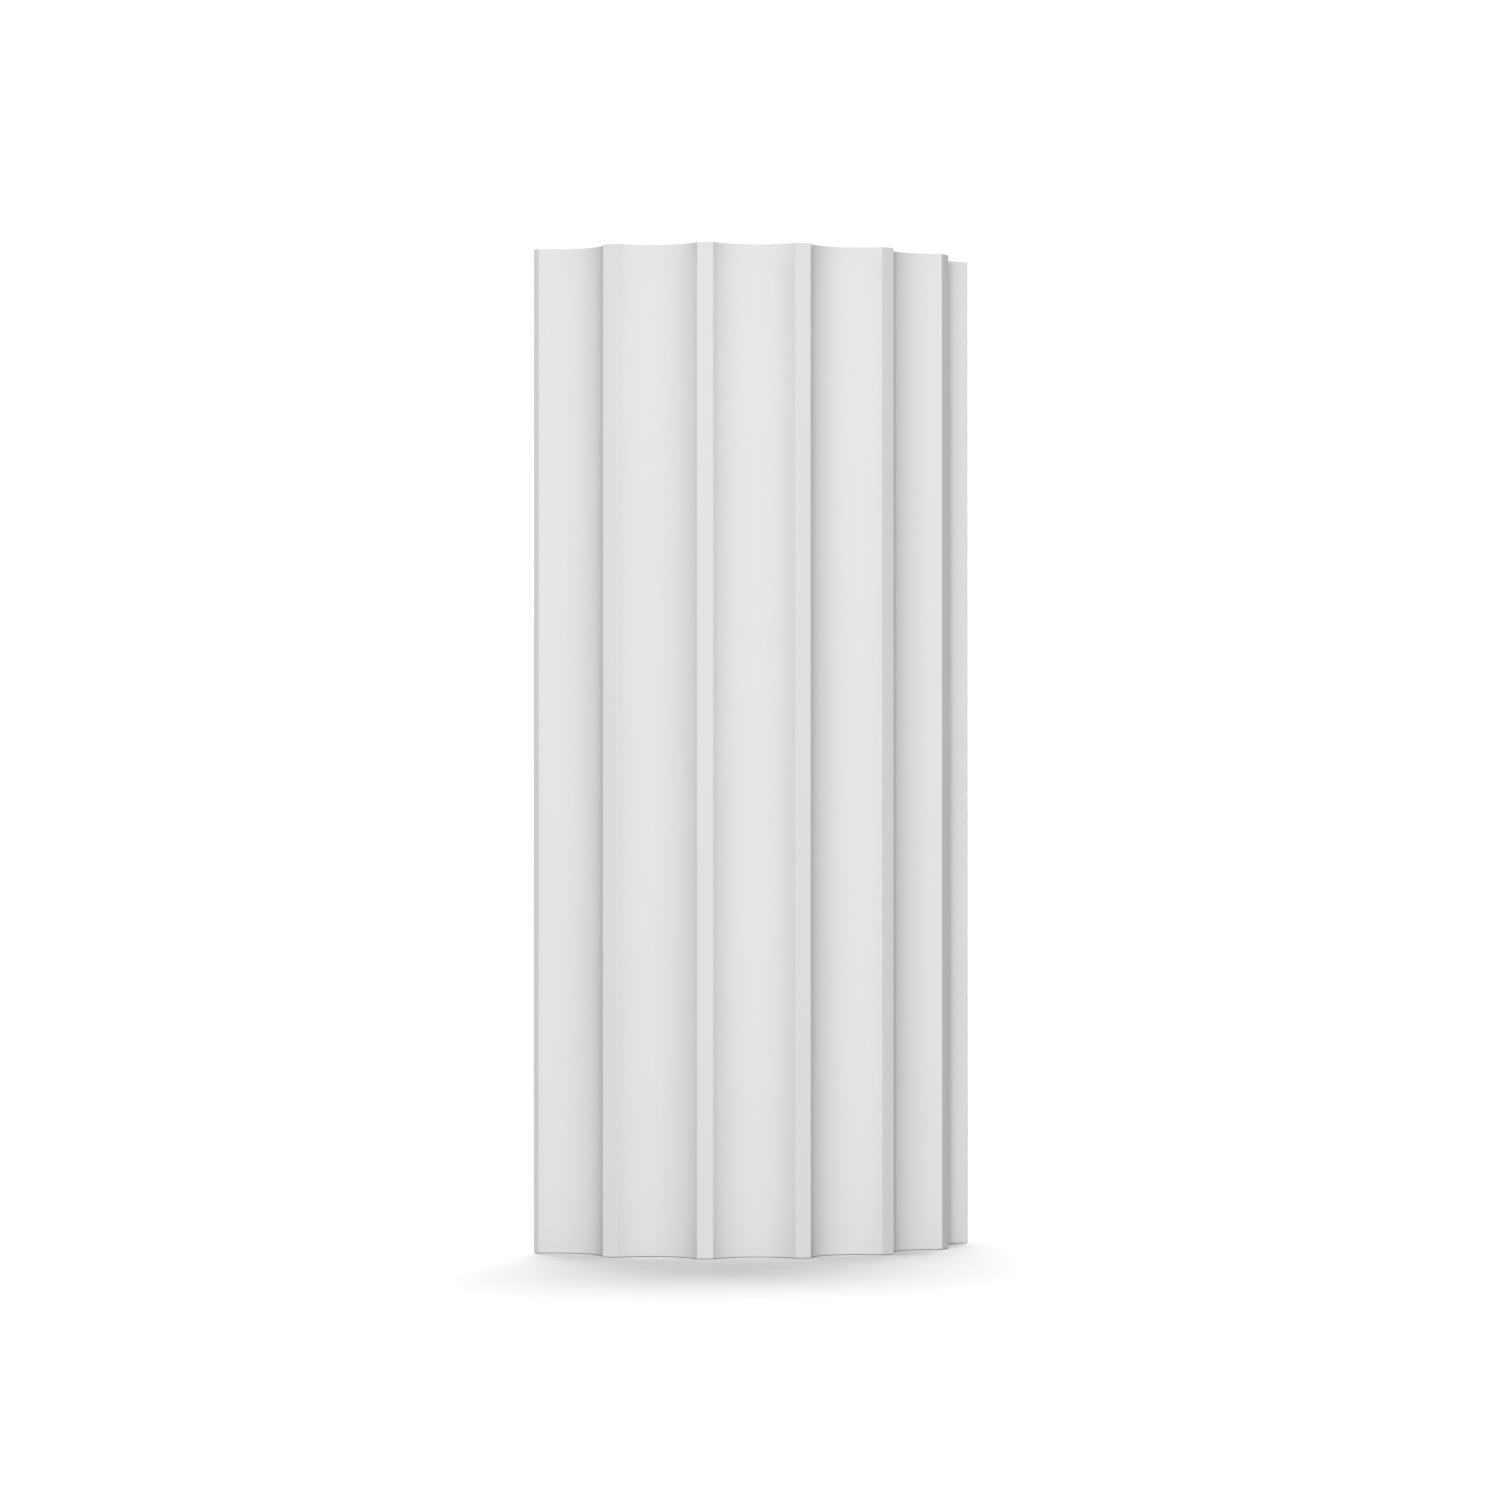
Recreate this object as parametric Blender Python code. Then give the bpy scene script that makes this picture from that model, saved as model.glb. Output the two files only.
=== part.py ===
"""A length of fluted shaft from an engaged half column, in primed moulding.

The shaft is a round fluted shaft cut in two by a plane through its axis. Flutes of one circular
arc each run its whole length between narrow fillets, the cut leaves half a fillet along each side,
and both ends are sawn square. The flat back goes against the wall.

Metres, +Z up. The front faces -Y, and the origin is the middle of the underside.
"""

import math

import bpy

SHAFT_RADIUS = 0.125
SHAFT_LENGTH = 0.500
FLUTES_IN_FULL_ROUND = 16
FILLET_WIDTH = 0.008
FLUTE_DEPTH = 0.011

# Straight steps that each round stretch of the outline is drawn with.
FLUTE_STEPS = 24
FILLET_STEPS = 2

PRIMER_COLOUR = (0.80, 0.80, 0.79, 1.0)
PRIMER_ROUGHNESS = 0.75


def point_on_shaft(angle):
    """The point of the shaft's round face at an angle from the front, in the shaft's own plan."""
    return SHAFT_RADIUS * math.sin(angle), -SHAFT_RADIUS * math.cos(angle)


def fillet(start, end):
    """The points of a fillet from one angle to another, both ends included."""
    turn = (end - start) / FILLET_STEPS
    return [point_on_shaft(start + turn * step) for step in range(FILLET_STEPS + 1)]


def flute(start, end):
    """The points of a flute between the two fillet edges at these angles, without its ends.

    The flute is one arc, FLUTE_DEPTH deep below the straight line between the two edges.
    """
    middle = (start + end) / 2
    half_chord = SHAFT_RADIUS * math.sin((end - start) / 2)
    chord_distance = SHAFT_RADIUS * math.cos((end - start) / 2)
    arc_radius = (half_chord**2 + FLUTE_DEPTH**2) / (2 * FLUTE_DEPTH)
    arc_distance = chord_distance - FLUTE_DEPTH + arc_radius
    half_sweep = math.atan2(half_chord, arc_radius - FLUTE_DEPTH)
    points = []
    for step in range(1, FLUTE_STEPS):
        sweep = half_sweep * (2 * step / FLUTE_STEPS - 1)
        across = arc_radius * math.sin(sweep)
        outward = arc_distance - arc_radius * math.cos(sweep)
        points.append(
            (
                outward * math.sin(middle) + across * math.cos(middle),
                -outward * math.cos(middle) + across * math.sin(middle),
            )
        )
    return points


def shaft_outline():
    """The half plan from the left edge of the back, round the front, to its right edge."""
    pitch = 2 * math.pi / FLUTES_IN_FULL_ROUND
    half_fillet = math.asin(FILLET_WIDTH / 2 / SHAFT_RADIUS)
    flutes_in_half = FLUTES_IN_FULL_ROUND // 2
    left_side = -math.pi / 2
    points = fillet(left_side, left_side + half_fillet)
    for count in range(flutes_in_half):
        flute_start = left_side + pitch * count + half_fillet
        flute_end = left_side + pitch * (count + 1) - half_fillet
        points += flute(flute_start, flute_end)
        last = count == flutes_in_half - 1
        points += fillet(flute_end, flute_end + half_fillet * (1 if last else 2))
    return points


def primed_moulding():
    """Matt white primer on smooth moulded hard foam."""
    material = bpy.data.materials.new("primed_moulding")
    material.use_nodes = True
    surface = material.node_tree.nodes["Principled BSDF"]
    surface.inputs["Base Color"].default_value = PRIMER_COLOUR
    surface.inputs["Roughness"].default_value = PRIMER_ROUGHNESS
    surface.inputs["Metallic"].default_value = 0.0
    material.diffuse_color = PRIMER_COLOUR
    return material


def make_shaft(collection):
    """The outline filled and drawn out to the shaft's length, standing on its sawn end."""
    outline = shaft_outline()
    curve = bpy.data.curves.new("half_column_shaft", "CURVE")
    curve.dimensions = "2D"
    curve.fill_mode = "BOTH"
    curve.extrude = SHAFT_LENGTH / 2
    spline = curve.splines.new("POLY")
    spline.points.add(len(outline) - 1)
    for place, (x, y) in zip(spline.points, outline):
        place.co = (x, y, 0, 1)
    spline.use_cyclic_u = True
    curve.materials.append(primed_moulding())
    shaft = bpy.data.objects.new("half_column_shaft", curve)
    shaft.location = (0, SHAFT_RADIUS / 2, SHAFT_LENGTH / 2)
    collection.objects.link(shaft)
    return shaft


for leftover in list(bpy.data.objects):
    bpy.data.objects.remove(leftover)

parts = bpy.data.collections.new("half_column")
bpy.context.scene.collection.children.link(parts)
make_shaft(parts)
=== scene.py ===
"""A length of fluted half column shaft in primed moulded foam, standing on its sawn end in a white studio.

Metres, +Z up. The shaft's flutes face -Y and its flat back, in which its axis lies, faces +Y.
"""

import math

import bpy
import numpy as np
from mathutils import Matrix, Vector


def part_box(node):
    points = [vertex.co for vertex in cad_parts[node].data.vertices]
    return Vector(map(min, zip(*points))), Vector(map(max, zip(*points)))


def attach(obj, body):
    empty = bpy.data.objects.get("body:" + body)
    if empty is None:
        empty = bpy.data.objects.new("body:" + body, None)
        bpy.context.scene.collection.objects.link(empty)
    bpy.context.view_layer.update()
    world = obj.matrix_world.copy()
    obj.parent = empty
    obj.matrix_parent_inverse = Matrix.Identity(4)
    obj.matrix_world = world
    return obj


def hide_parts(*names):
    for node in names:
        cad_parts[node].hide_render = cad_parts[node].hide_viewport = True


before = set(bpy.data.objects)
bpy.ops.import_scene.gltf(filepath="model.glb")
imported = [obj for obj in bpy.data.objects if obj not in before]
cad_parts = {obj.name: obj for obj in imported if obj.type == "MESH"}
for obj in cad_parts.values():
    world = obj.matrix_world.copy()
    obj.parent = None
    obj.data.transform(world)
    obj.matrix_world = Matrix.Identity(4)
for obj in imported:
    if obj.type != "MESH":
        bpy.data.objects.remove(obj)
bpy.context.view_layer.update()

# The camera.
# A long lens a little over three metres away, 41 degrees round to the left of the shaft's front. It is
# somewhat below the middle of the shaft's height, and looks up by half a degree.
shaft_low, shaft_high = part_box("half_column_shaft")
shaft_radius = shaft_high.y - shaft_low.y
axis_y = shaft_high.y

CAMERA_AZIMUTH = math.radians(-41.213)
CAMERA_TILT = math.radians(0.555)
CAMERA_DISTANCE = 25.102 * shaft_radius
CAMERA_HEIGHT = 1.766 * shaft_radius
CAMERA_OFF_AXIS = 0.1106 * shaft_radius
SENSOR_WIDTH = 36.0
PICTURE_PIXELS = 1500
FOCAL_PIXELS = 6131.0

to_camera = Vector((math.sin(CAMERA_AZIMUTH), -math.cos(CAMERA_AZIMUTH), 0))
to_right = Vector((-to_camera.y, to_camera.x, 0))
camera = bpy.data.objects.new("camera", bpy.data.cameras.new("camera"))
camera.data.sensor_width = SENSOR_WIDTH
camera.data.lens = FOCAL_PIXELS / PICTURE_PIXELS * SENSOR_WIDTH
camera.location = (
    Vector((0, axis_y, CAMERA_HEIGHT)) + to_camera * CAMERA_DISTANCE + to_right * CAMERA_OFF_AXIS
)
looking = -to_camera * math.cos(CAMERA_TILT) + Vector((0, 0, math.sin(CAMERA_TILT)))
camera.rotation_euler = looking.to_track_quat("-Z", "Y").to_euler()
bpy.context.scene.collection.objects.link(camera)
bpy.context.scene.camera = camera

# The shaft.
# One moulding of hard polyurethane foam, cast in a closed mould that leaves every arris crisp and a
# dense skin over the foam, sawn square at both ends and sanded flat behind. The face is primed white.
FLUTES_IN_FULL_ROUND = 16
FILLET_WIDTH = 0.008
FLUTE_DEPTH = 0.011
ARRIS_RADIUS = 0.00035
SAWN_ARRIS = 0.00025
SKIN_DEPTH = 0.0016

# Straight steps round each arc of the plan, across the back, up the shaft and in over each end.
FLUTE_STEPS = 64
FILLET_STEPS = 6
ARRIS_STEPS = 5
BACK_STEPS = 60
LENGTH_STEPS = 24
CAP_RINGS = 14

# How far in front of the back the rings over an end close in, as a share of the radius.
CAP_MIDDLE = 0.4


def direction(angle):
    """Unit vectors at angles measured from the front, -Y, round towards +X, one row for each angle."""
    return np.stack([np.sin(angle), -np.cos(angle)], axis=-1)


def arc(centre, radius, start, end, steps):
    """Points of an arc and the angles of their outward normals.

    A point is the centre plus the radius times its normal, so a hollow arc has a negative radius.
    """
    angles = np.linspace(start, end, steps + 1)
    return np.asarray(centre) + radius * direction(angles), angles


def one_flute():
    """The plan of one pitch about the shaft's axis, with a flute at the front and half a fillet each side.

    Half a fillet lies on the face's circle, then come an arris, the flute's hollow arc, an arris and
    the other half fillet. The arris's centre is ARRIS_RADIUS inside the face's circle and as far
    outside the flute's arc, which places it by the law of cosines.
    """
    pitch = 2 * np.pi / FLUTES_IN_FULL_ROUND
    half_flute = pitch / 2 - np.arcsin(FILLET_WIDTH / 2 / shaft_radius)
    half_chord = shaft_radius * np.sin(half_flute)
    hollow = (half_chord**2 + FLUTE_DEPTH**2) / (2 * FLUTE_DEPTH)
    hollow_distance = shaft_radius * np.cos(half_flute) - FLUTE_DEPTH + hollow
    inside = shaft_radius - ARRIS_RADIUS
    outside = hollow + ARRIS_RADIUS
    turn = np.arccos((hollow_distance**2 + inside**2 - outside**2) / (2 * hollow_distance * inside))
    wall = np.arctan2(inside * np.sin(turn), hollow_distance - inside * np.cos(turn))
    left_arris, right_arris = inside * direction(np.array([-turn, turn]))
    stretches = [
        arc((0, 0), shaft_radius, -pitch / 2, -turn, FILLET_STEPS),
        arc(left_arris, ARRIS_RADIUS, -turn, wall, ARRIS_STEPS),
        arc((0, -hollow_distance), -hollow, wall, -wall, FLUTE_STEPS),
        arc(right_arris, ARRIS_RADIUS, -wall, turn, ARRIS_STEPS),
        arc((0, 0), shaft_radius, turn, pitch / 2, FILLET_STEPS),
    ]
    points = np.concatenate([points[:-1] for points, angles in stretches])
    angles = np.concatenate([angles[:-1] for points, angles in stretches])
    return points, angles


def shaft_outline():
    """The plan of the shaft about its axis, from the back's left end round the front and back again.

    The flutes are one_flute turned about the axis by whole pitches, cut off where an arris rounds each
    end into the back. That arris's centre lies ARRIS_RADIUS inside both the face's circle and the back.
    """
    pitch = 2 * np.pi / FLUTES_IN_FULL_ROUND
    flute, flute_angles = one_flute()
    turns = pitch * (np.arange(FLUTES_IN_FULL_ROUND // 2) - FLUTES_IN_FULL_ROUND / 4 + 0.5)
    cos, sin = np.cos(turns)[:, None], np.sin(turns)[:, None]
    x, y = flute.T
    front = np.stack([x * cos - y * sin, x * sin + y * cos], axis=-1).reshape(-1, 2)
    front_angles = (flute_angles + turns[:, None]).ravel()
    inside = shaft_radius - ARRIS_RADIUS
    corner = np.arccos(ARRIS_RADIUS / inside)
    corner_x = inside * np.sin(corner)
    left, left_angles = arc((-corner_x, -ARRIS_RADIUS), ARRIS_RADIUS, -np.pi, -corner, ARRIS_STEPS)
    right, right_angles = arc((corner_x, -ARRIS_RADIUS), ARRIS_RADIUS, corner, np.pi, ARRIS_STEPS)
    between = np.abs(np.arctan2(front[:, 0], -front[:, 1])) < corner
    back_x = np.linspace(corner_x, -corner_x, BACK_STEPS + 1)[1:-1]
    back = np.stack([back_x, np.zeros_like(back_x)], axis=-1)
    outline = np.concatenate([left, front[between], right, back])
    angles = np.concatenate([left_angles, front_angles[between], right_angles, np.full(len(back), np.pi)])
    return outline, angles


def shaft_surface(outline, angles, middle, low, high):
    """Points and normals of the shaft on a grid, rings of the outline by points round it.

    From near the middle of the underside the rings widen to the outline, closer together towards it,
    turn a quarter circle round the sawn arris and rise to half height. The upper half is the lower
    one mirrored. A ring is the outline set back along its normals and drawn in towards the middle.
    """
    quarter = np.linspace(0, np.pi / 2, ARRIS_STEPS + 1)
    widen = 1 - np.linspace(1, 0, CAP_RINGS + 1)[1:-1] ** 2
    rise = np.linspace(low + SAWN_ARRIS, (low + high) / 2, LENGTH_STEPS // 2 + 1)[1:]
    flat, upright = np.ones_like(widen), np.ones_like(rise)
    reach = np.concatenate([widen, np.ones_like(quarter), upright])
    inset = np.concatenate([flat * SAWN_ARRIS, SAWN_ARRIS * (1 - np.sin(quarter)), upright * 0])
    height = np.concatenate([flat * low, low + SAWN_ARRIS * (1 - np.cos(quarter)), rise])
    lean = np.concatenate([-flat, -np.cos(quarter), upright * 0])
    reach, inset = (np.concatenate([half, half[-2::-1]]) for half in (reach, inset))
    height = np.concatenate([height, low + high - height[-2::-1]])
    lean = np.concatenate([lean, -lean[-2::-1]])
    outward = direction(angles)
    points = np.empty((len(height), len(outline), 3))
    points[..., :2] = middle + reach[:, None, None] * (outline - inset[:, None, None] * outward - middle)
    points[..., 2] = height[:, None]
    normals = np.empty_like(points)
    normals[..., :2] = np.sqrt(1 - lean**2)[:, None, None] * outward
    normals[..., 2] = lean[:, None]
    return points, normals


POINTS_AT_A_TIME = 1000


def depth_below(points, face):
    """How far each point lies in plan from the nearest point of the moulded face.

    It is the least of the distances to all the face's points, for some of the points at a time.
    """
    batches = np.array_split(points[:, None, :2], len(points) // POINTS_AT_A_TIME)
    return np.concatenate([np.sqrt(((batch - face) ** 2).sum(axis=-1).min(axis=1)) for batch in batches])


def linear(hex_colour):
    """An sRGB hex colour as linear red, green, blue and alpha."""
    srgb = np.array([int(hex_colour[place : place + 2], 16) for place in (0, 2, 4)]) / 255
    light = np.where(srgb <= 0.04045, srgb / 12.92, ((srgb + 0.055) / 1.055) ** 2.4)
    return (*light, 1.0)


def add_node(tree, kind, inputs=(), **settings):
    """A node with its settings, and its inputs as plain values or links from other nodes' sockets."""
    node = tree.nodes.new(kind)
    for name, value in settings.items():
        setattr(node, name, value)
    for name, value in dict(inputs).items():
        if isinstance(value, bpy.types.NodeSocket):
            tree.links.new(value, node.inputs[name])
        else:
            node.inputs[name].default_value = value
    return node


# The places of a Mix node's sockets for colours. Its sockets for numbers have the same names.
FIRST, SECOND, MIXED = 6, 7, 2

COAT_PATCH = 0.045
PEEL_SPACING = 0.0022

# The depth of each bump is that of its noise's full range, of which the noise reaches about half.
PEEL_DEPTH = 0.00006


def primed_face():
    """Factory primer sprayed on smooth moulded foam: dead matt white, with a faint orange peel.

    The peel's dimples are about 2 mm apart and a few hundredths of a millimetre deep. Over every 45 mm
    or so the coat is a little thicker or thinner, which shifts the white by about one part in a hundred.
    """
    material = bpy.data.materials.new("primed_moulded_foam")
    material.use_nodes = True
    tree = material.node_tree
    paint = tree.nodes["Principled BSDF"]
    place = add_node(tree, "ShaderNodeTexCoord").outputs["Object"]
    coat = add_node(tree, "ShaderNodeTexNoise", {"Vector": place, "Scale": 1 / COAT_PATCH, "Detail": 3.0})
    colour = add_node(
        tree,
        "ShaderNodeMix",
        {"Factor": coat.outputs["Fac"], FIRST: linear("EEEEEE"), SECOND: linear("F1F1F1")},
        data_type="RGBA",
    )
    peel = add_node(tree, "ShaderNodeTexNoise", {"Vector": place, "Scale": 1 / PEEL_SPACING, "Detail": 2.0})
    dimpled = add_node(
        tree, "ShaderNodeBump", {"Strength": 1.0, "Distance": PEEL_DEPTH, "Height": peel.outputs["Fac"]}
    )
    tree.links.new(colour.outputs[MIXED], paint.inputs["Base Color"])
    tree.links.new(dimpled.outputs["Normal"], paint.inputs["Normal"])
    paint.inputs["Roughness"].default_value = 0.7
    paint.inputs["IOR"].default_value = 1.46
    paint.inputs["Specular IOR Level"].default_value = 0.3
    return material


STREAK_WIDTH = 0.0016
STREAK_LENGTH = 0.070
STREAK_DEPTH = 0.00014


def sanding_marks(tree, place):
    """The height of a sanding belt's marks: fine streaks along the shaft.

    It is noise on coordinates that are shortened along the shaft, which draws its specks out long.
    """
    shortened = add_node(
        tree,
        "ShaderNodeVectorMath",
        {0: place, 1: (1, 1, STREAK_WIDTH / STREAK_LENGTH)},
        operation="MULTIPLY",
    )
    marks = add_node(
        tree,
        "ShaderNodeTexNoise",
        {"Vector": shortened.outputs["Vector"], "Scale": 1 / STREAK_WIDTH, "Detail": 2.0},
    )
    return marks.outputs["Fac"]


SAW_CENTRE = (0.05, 0.28, 0)
SAW_MARK_SPACING = 0.0022
SAW_MARK_DEPTH = 0.0003


def saw_marks(tree, place):
    """The height of a cross-cut saw's marks: shallow arcs about a centre some way behind the back.

    It is noise read along the distance from that centre alone, so it stays the same all along an arc.
    """
    in_plan = add_node(tree, "ShaderNodeVectorMath", {0: place, 1: (1, 1, 0)}, operation="MULTIPLY")
    across = add_node(
        tree, "ShaderNodeVectorMath", {0: in_plan.outputs["Vector"], 1: SAW_CENTRE}, operation="DISTANCE"
    )
    marks = add_node(
        tree,
        "ShaderNodeTexNoise",
        {"W": across.outputs["Value"], "Scale": 1 / SAW_MARK_SPACING, "Detail": 2.0},
        noise_dimensions="1D",
    )
    return marks.outputs["Fac"]


SKIN_FADES_FROM = 0.6 * SKIN_DEPTH
DENSITY_PATCH = 0.030
CELL_WIDTH = 0.0007
CELL_DEPTH = 0.00004
BUBBLE_SPACING = 0.012
BUBBLE_WIDTH = 0.0012
BUBBLE_BOTTOM = 0.7 * BUBBLE_WIDTH
BUBBLE_DEPTH = BUBBLE_WIDTH / 3


def cut_foam(name, tool_marks, mark_depth):
    """Hard foam laid open by a tool: creamy inside, with small cells and a whiter dense skin.

    The real cells are some 0.3 mm across, and are drawn at 0.7 mm so that they show. Each cell is
    painted darker towards its middle, as painted shade in its pit. Here and there a bubble up to a
    millimetre or so across is cut open, and is painted darker inside, as painted shade in its hollow.
    The attribute "depth" says how far in from the moulded face a point is. A Voronoi distance is in
    shares of its cells' spacing.
    """
    material = bpy.data.materials.new(name)
    material.use_nodes = True
    tree = material.node_tree
    foam = tree.nodes["Principled BSDF"]
    place = add_node(tree, "ShaderNodeTexCoord").outputs["Object"]
    density = add_node(
        tree, "ShaderNodeTexNoise", {"Vector": place, "Scale": 1 / DENSITY_PATCH, "Detail": 3.0}
    )
    clouded = add_node(
        tree,
        "ShaderNodeMix",
        {"Factor": density.outputs["Fac"], FIRST: linear("E9E7E1"), SECOND: linear("F1EFEA")},
        data_type="RGBA",
    )
    # Painted shade: each cell's colour darkens towards its middle, where its pit is.
    cells = add_node(tree, "ShaderNodeTexVoronoi", {"Vector": place, "Scale": 1 / CELL_WIDTH})
    cells_with_painted_pit_shade = add_node(
        tree,
        "ShaderNodeMix",
        {
            "Factor": cells.outputs["Distance"],
            FIRST: linear("E3E0D9"),
            SECOND: clouded.outputs[MIXED],
        },
        data_type="RGBA",
    )
    depth = add_node(tree, "ShaderNodeAttribute", attribute_name="depth")
    below_skin = add_node(
        tree,
        "ShaderNodeMapRange",
        {"Value": depth.outputs["Fac"], "From Min": SKIN_FADES_FROM, "From Max": SKIN_DEPTH},
        interpolation_type="SMOOTHSTEP",
    )
    skinned = add_node(
        tree,
        "ShaderNodeMix",
        {
            "Factor": below_skin.outputs["Result"],
            FIRST: linear("F2F1EE"),
            SECOND: cells_with_painted_pit_shade.outputs[MIXED],
        },
        data_type="RGBA",
    )
    bubbles = add_node(tree, "ShaderNodeTexVoronoi", {"Vector": place, "Scale": 1 / BUBBLE_SPACING})
    unbroken = add_node(
        tree,
        "ShaderNodeMapRange",
        {
            "Value": bubbles.outputs["Distance"],
            "From Min": BUBBLE_BOTTOM / 2 / BUBBLE_SPACING,
            "From Max": BUBBLE_WIDTH / 2 / BUBBLE_SPACING,
        },
        interpolation_type="SMOOTHSTEP",
    )
    # Painted shade: each opened bubble is painted darker inside, where its hollow is.
    colour = add_node(
        tree,
        "ShaderNodeMix",
        {
            "Factor": unbroken.outputs["Result"],
            FIRST: linear("CFCCC3"),
            SECOND: skinned.outputs[MIXED],
        },
        data_type="RGBA",
    )
    scored = add_node(
        tree,
        "ShaderNodeBump",
        {"Strength": 1.0, "Distance": mark_depth, "Height": tool_marks(tree, place)},
    )
    pitted = add_node(
        tree,
        "ShaderNodeBump",
        {
            "Strength": 0.5,
            "Distance": CELL_DEPTH,
            "Height": cells.outputs["Distance"],
            "Normal": scored.outputs["Normal"],
        },
    )
    hollowed = add_node(
        tree,
        "ShaderNodeBump",
        {
            "Strength": 1.0,
            "Distance": BUBBLE_DEPTH,
            "Height": unbroken.outputs["Result"],
            "Normal": pitted.outputs["Normal"],
        },
    )
    tree.links.new(colour.outputs[MIXED], foam.inputs["Base Color"])
    tree.links.new(hollowed.outputs["Normal"], foam.inputs["Normal"])
    foam.inputs["Roughness"].default_value = 0.9
    foam.inputs["Specular IOR Level"].default_value = 0.2
    return material


outline, outline_angles = shaft_outline()
middle = np.array([0, -CAP_MIDDLE * shaft_radius])
points, normals = shaft_surface(outline, outline_angles, middle, shaft_low.z, shaft_high.z)
rings, count = points.shape[:2]
vertices = np.vstack([points.reshape(-1, 3), (*middle, shaft_low.z), (*middle, shaft_high.z)])
vertex_normals = np.vstack([normals.reshape(-1, 3), (0, 0, -1), (0, 0, 1)])
behind = np.isclose(np.abs(outline_angles), np.pi)
depth = depth_below(vertices, outline[~behind])
vertices[:, 1] += axis_y

ring, step = np.meshgrid(np.arange(rings - 1), np.arange(count), indexing="ij")
beside = (step + 1) % count
quads = np.stack(
    [ring * count + step, ring * count + beside, (ring + 1) * count + beside, (ring + 1) * count + step],
    axis=-1,
).reshape(-1, 4)
first, last = np.arange(count), (rings - 1) * count
bottom_fan = np.stack([np.full(count, rings * count), beside[0], first], axis=-1)
top_fan = np.stack([np.full(count, rings * count + 1), last + first, last + beside[0]], axis=-1)

shaft_mesh = bpy.data.meshes.new("fluted_shaft")
shaft_mesh.from_pydata(vertices, [], [*quads.tolist(), *bottom_fan.tolist(), *top_fan.tolist()])
PRIMED, SANDED, SAWN = range(3)
shaft_mesh.materials.append(primed_face())
shaft_mesh.materials.append(cut_foam("sanded_hard_foam", sanding_marks, STREAK_DEPTH))
shaft_mesh.materials.append(cut_foam("sawn_hard_foam", saw_marks, SAW_MARK_DEPTH))
on_back = behind & np.roll(behind, -1)
level = np.isclose(np.abs(normals[:, 0, 2]), 1)
on_end = level[:-1] & level[1:]
finish = np.where(on_end[:, None], SAWN, np.where(on_back[None, :], SANDED, PRIMED)).ravel()
shaft_mesh.polygons.foreach_set(
    "material_index", np.concatenate([finish, np.full(2 * count, SAWN)]).astype(np.int32)
)
shaft_mesh.attributes.new("depth", "FLOAT", "POINT").data.foreach_set("value", depth)
shaft_mesh.shade_smooth()
shaft_mesh.normals_split_custom_set_from_vertices(vertex_normals.tolist())
shaft = bpy.data.objects.new("fluted_shaft", shaft_mesh)
bpy.context.scene.collection.objects.link(shaft)
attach(shaft, "root")
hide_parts("half_column_shaft")

# The floor.
# A sheet of matt white board, far wider than the picture. The camera sees it bright enough to be plain
# white, while only a little of its light goes back up to the shaft.
FLOOR_WIDTH = 12.0
BELOW_SHAFT = 0.0002
SENT_BACK_UP = 0.08
SENT_TO_CAMERA = 1.1


def choose_by_camera(tree, for_light, for_camera, surface):
    """Gives the surface one shader for the light that goes round and another for what the camera sees."""
    ray = add_node(tree, "ShaderNodeLightPath").outputs["Is Camera Ray"]
    mix = add_node(tree, "ShaderNodeMixShader", {"Fac": ray, 1: for_light, 2: for_camera})
    tree.links.new(mix.outputs["Shader"], surface)


def white_board():
    """Matt white board: an even diffuse white with no gloss."""
    material = bpy.data.materials.new("matt_white_board")
    material.use_nodes = True
    tree = material.node_tree
    tree.nodes.remove(tree.nodes["Principled BSDF"])
    dim, bright = (
        add_node(tree, "ShaderNodeBsdfDiffuse", {"Color": (share, share, share, 1)}).outputs["BSDF"]
        for share in (SENT_BACK_UP, SENT_TO_CAMERA)
    )
    choose_by_camera(tree, dim, bright, tree.nodes["Material Output"].inputs["Surface"])
    return material


side = np.array([-1, 1]) * FLOOR_WIDTH / 2
floor_x, floor_y = np.meshgrid(side, side)
floor_points = np.stack([floor_x, floor_y, np.full((2, 2), shaft_low.z - BELOW_SHAFT)], axis=-1)
floor_mesh = bpy.data.meshes.new("floor")
floor_mesh.from_pydata(floor_points.reshape(-1, 3), [], [(0, 1, 3, 2)])
floor_mesh.materials.append(white_board())
floor = bpy.data.objects.new("floor", floor_mesh)
bpy.context.scene.collection.objects.link(floor)

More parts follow.
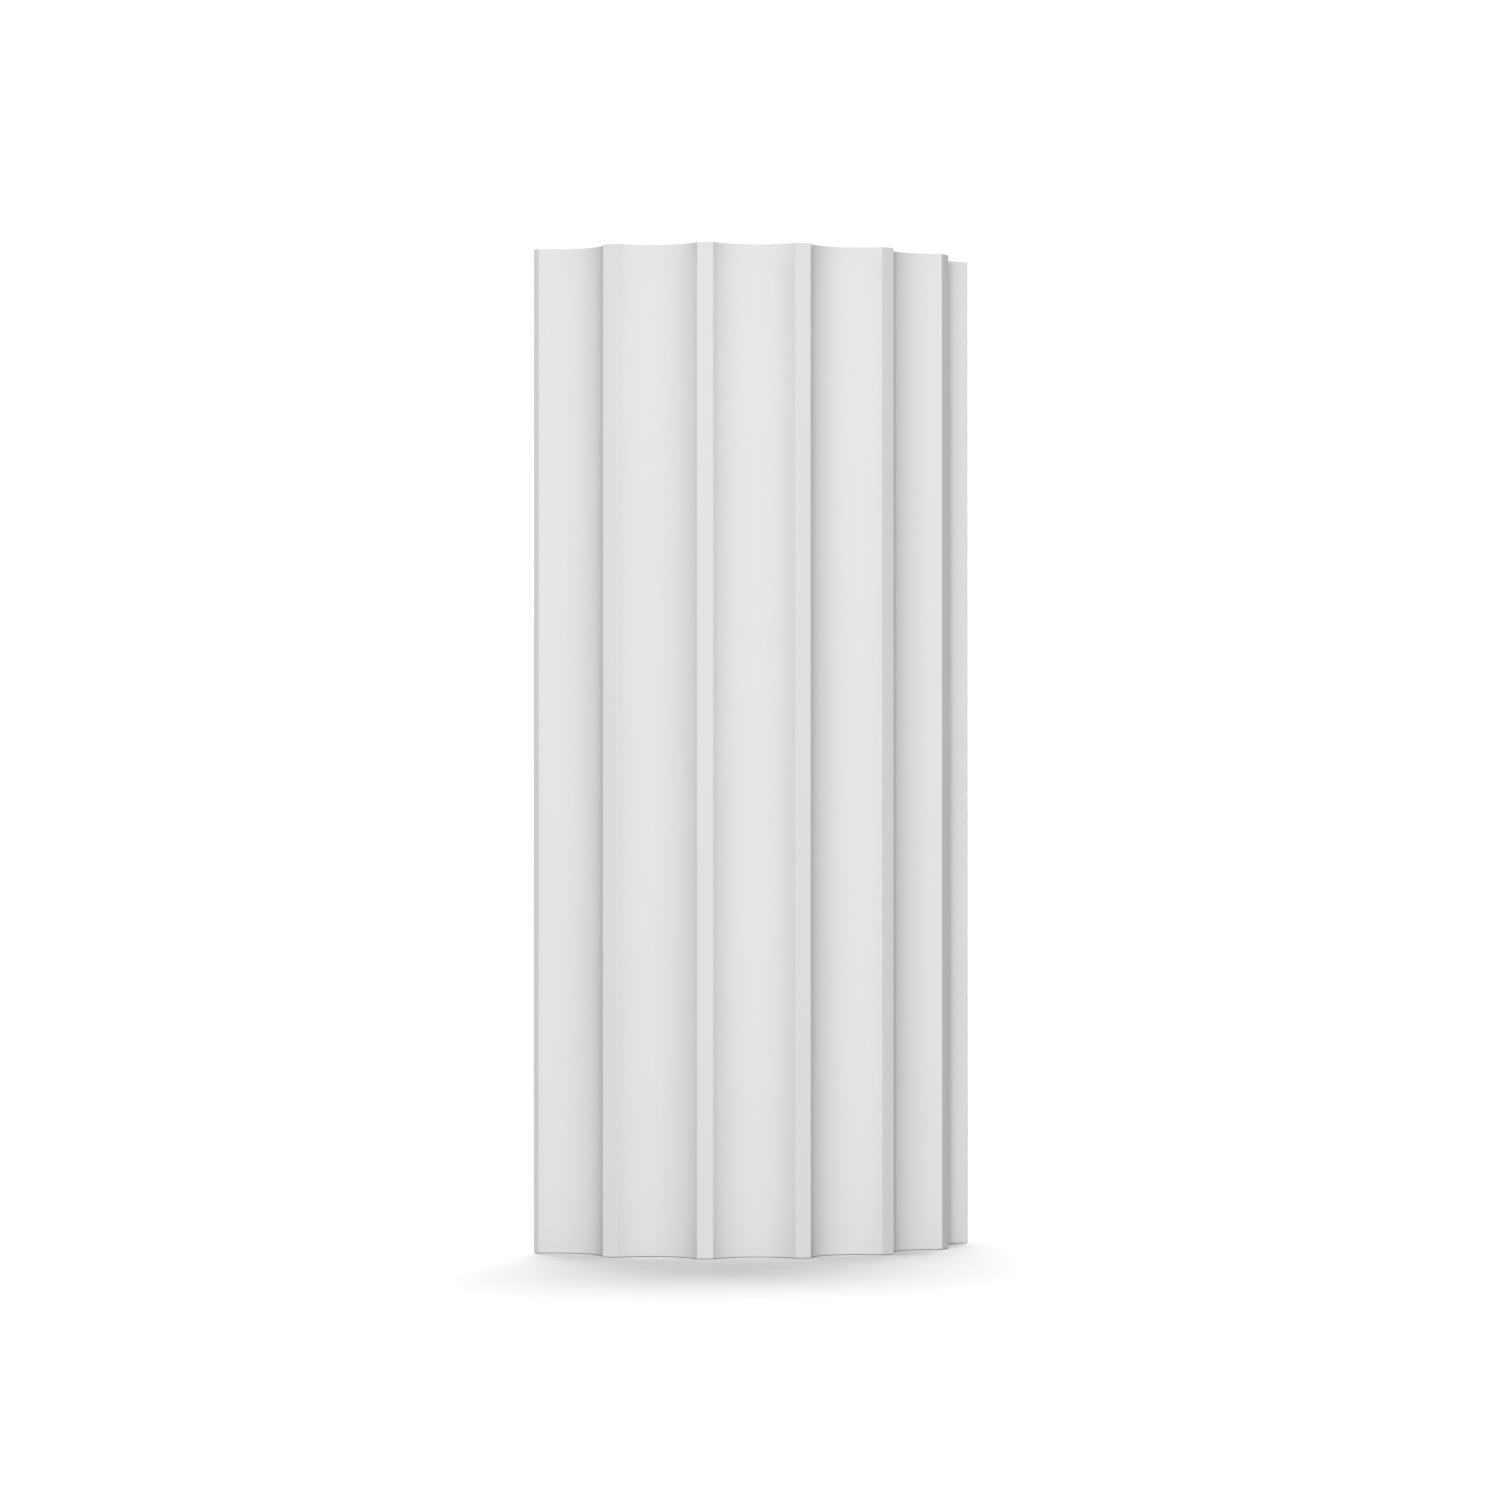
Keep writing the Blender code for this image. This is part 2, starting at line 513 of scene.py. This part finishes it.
# The light.
# A softbox at the camera, so a face that looks at it is brightest and the flutes darken softly towards
# their walls, with wide soft light far off to each side and behind, and a dim white tent all round.
TENT_LIGHT = 0.263
TENT_TO_CAMERA = 1.05
LAMP_DISTANCE = 3.2
SOFTBOX_WIDTH = 0.5
SOFTBOX_WATTS = 63.3


def add_lamp(name, kind, azimuth, elevation, **settings):
    """A lamp that many degrees round from the camera and above the level, facing the shaft's middle."""
    light = bpy.data.lights.new(name, kind)
    for setting, value in settings.items():
        setattr(light, setting, value)
    lamp = bpy.data.objects.new(name, light)
    turn, lift = CAMERA_AZIMUTH + math.radians(azimuth), math.radians(elevation)
    away = Vector((math.sin(turn) * math.cos(lift), -math.cos(turn) * math.cos(lift), math.sin(lift)))
    lamp.location = Vector((0, axis_y, (shaft_low.z + shaft_high.z) / 2)) + away * LAMP_DISTANCE
    lamp.rotation_euler = (-away).to_track_quat("-Z", "Y").to_euler()
    lamp.visible_camera = False
    bpy.context.scene.collection.objects.link(lamp)


world = bpy.data.worlds.new("white_tent")
world.use_nodes = True
tree = world.node_tree
tree.nodes.remove(tree.nodes["Background"])
tent, white = (
    add_node(tree, "ShaderNodeBackground", {"Strength": strength, "Color": (1, 1, 1, 1)})
    for strength in (TENT_LIGHT, TENT_TO_CAMERA)
)
choose_by_camera(
    tree,
    tent.outputs["Background"],
    white.outputs["Background"],
    tree.nodes["World Output"].inputs["Surface"],
)
bpy.context.scene.world = world

add_lamp("camera_softbox", "AREA", azimuth=0, elevation=6, size=SOFTBOX_WIDTH, energy=SOFTBOX_WATTS)

# The far lights are wide suns: degrees round from the camera, up and across, and strength.
for name, azimuth, elevation, width, strength in (
    ("far_left_light", -90, 10, 30, 0.45),
    ("far_right_light", 75, 10, 30, 0.25),
    ("far_back_light", 160, 5, 30, 1.6),
    ("far_high_light", 180, 58, 40, 2.2),
):
    add_lamp(name, "SUN", azimuth, elevation, angle=math.radians(width), energy=strength)

bpy.context.scene.view_settings.view_transform = "Standard"
